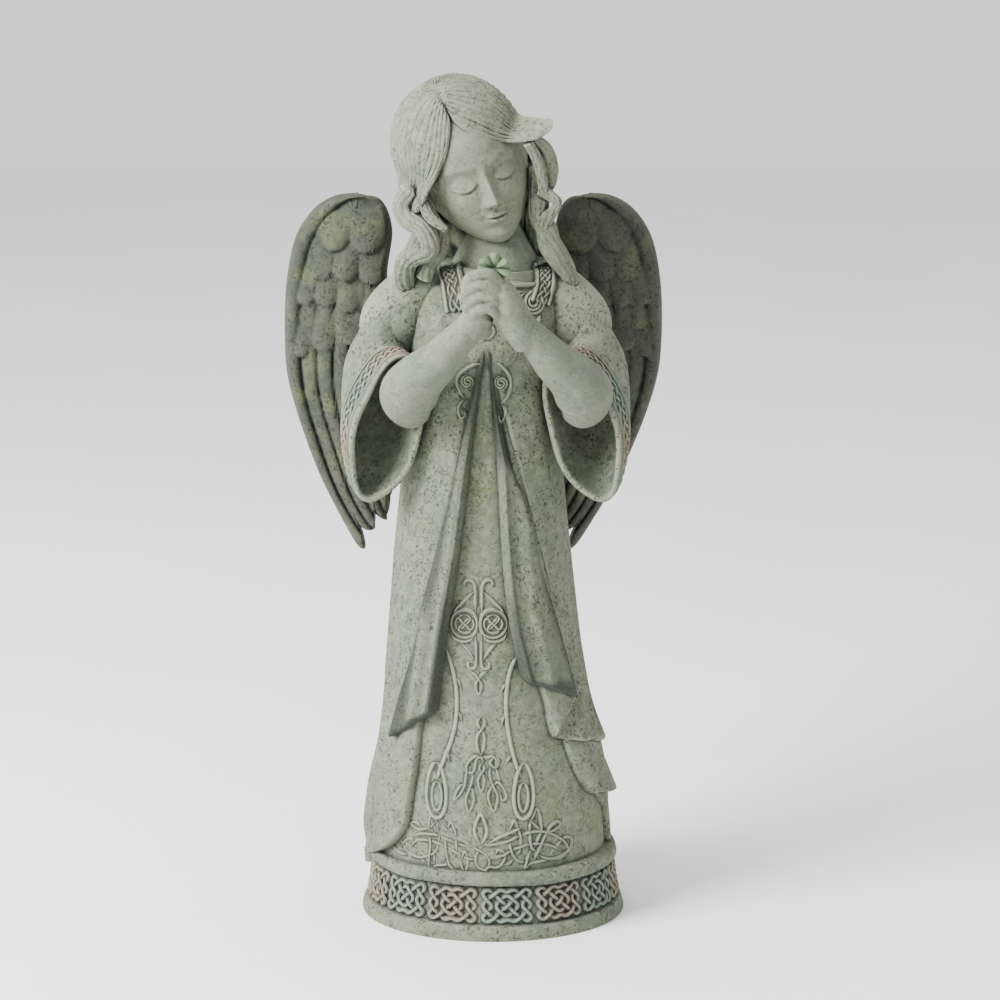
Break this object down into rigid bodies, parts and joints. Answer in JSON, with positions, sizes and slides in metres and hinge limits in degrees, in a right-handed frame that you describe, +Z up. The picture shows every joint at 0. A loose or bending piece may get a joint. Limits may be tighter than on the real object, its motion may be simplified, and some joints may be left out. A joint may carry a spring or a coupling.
{
  "type": "praying angel garden statue",
  "caption": "Garden statue of a standing child angel with folded hands, feathered wings, bell sleeves and a long open cloak, on an oval base with a knotwork band.",
  "frame": {"origin": "centre of the oval base's flat underside", "axes": "+Z up, the figure faces -Y, +X to the viewer's right"},
  "size_m": [0.217, 0.1483, 0.48],
  "materials": {
    "stone": "weathered grey-green cast stone resin with a dark wash in the hollows"
  },
  "bodies": {
    "root": {"angel_statue": "stone"}
  },
  "joints": []
}
